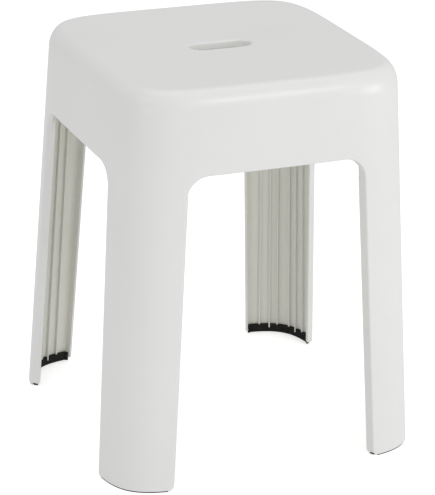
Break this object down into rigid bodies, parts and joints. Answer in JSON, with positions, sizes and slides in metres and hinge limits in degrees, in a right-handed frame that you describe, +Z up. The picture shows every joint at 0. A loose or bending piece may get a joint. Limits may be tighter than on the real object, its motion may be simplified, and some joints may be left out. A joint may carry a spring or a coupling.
{
  "type": "shower stool",
  "caption": "Square bathroom stool moulded in one piece, with open channel legs, arched sides, a hand slot in the seat and rubber feet.",
  "frame": {"origin": "on the floor, midway between the four feet", "axes": "+Z up, front towards -Y with the long side of the hand slot parallel to it, +X to the sitter's left when facing forwards"},
  "size_m": [0.366, 0.366, 0.44],
  "materials": {
    "moulding": "satin white injection moulding, very slightly warm",
    "feet": "black non-slip rubber, matt"
  },
  "bodies": {
    "root": {"stool_body": "moulding", "foot_front_left": "feet", "foot_front_right": "feet", "foot_rear_left": "feet", "foot_rear_right": "feet"}
  },
  "joints": []
}
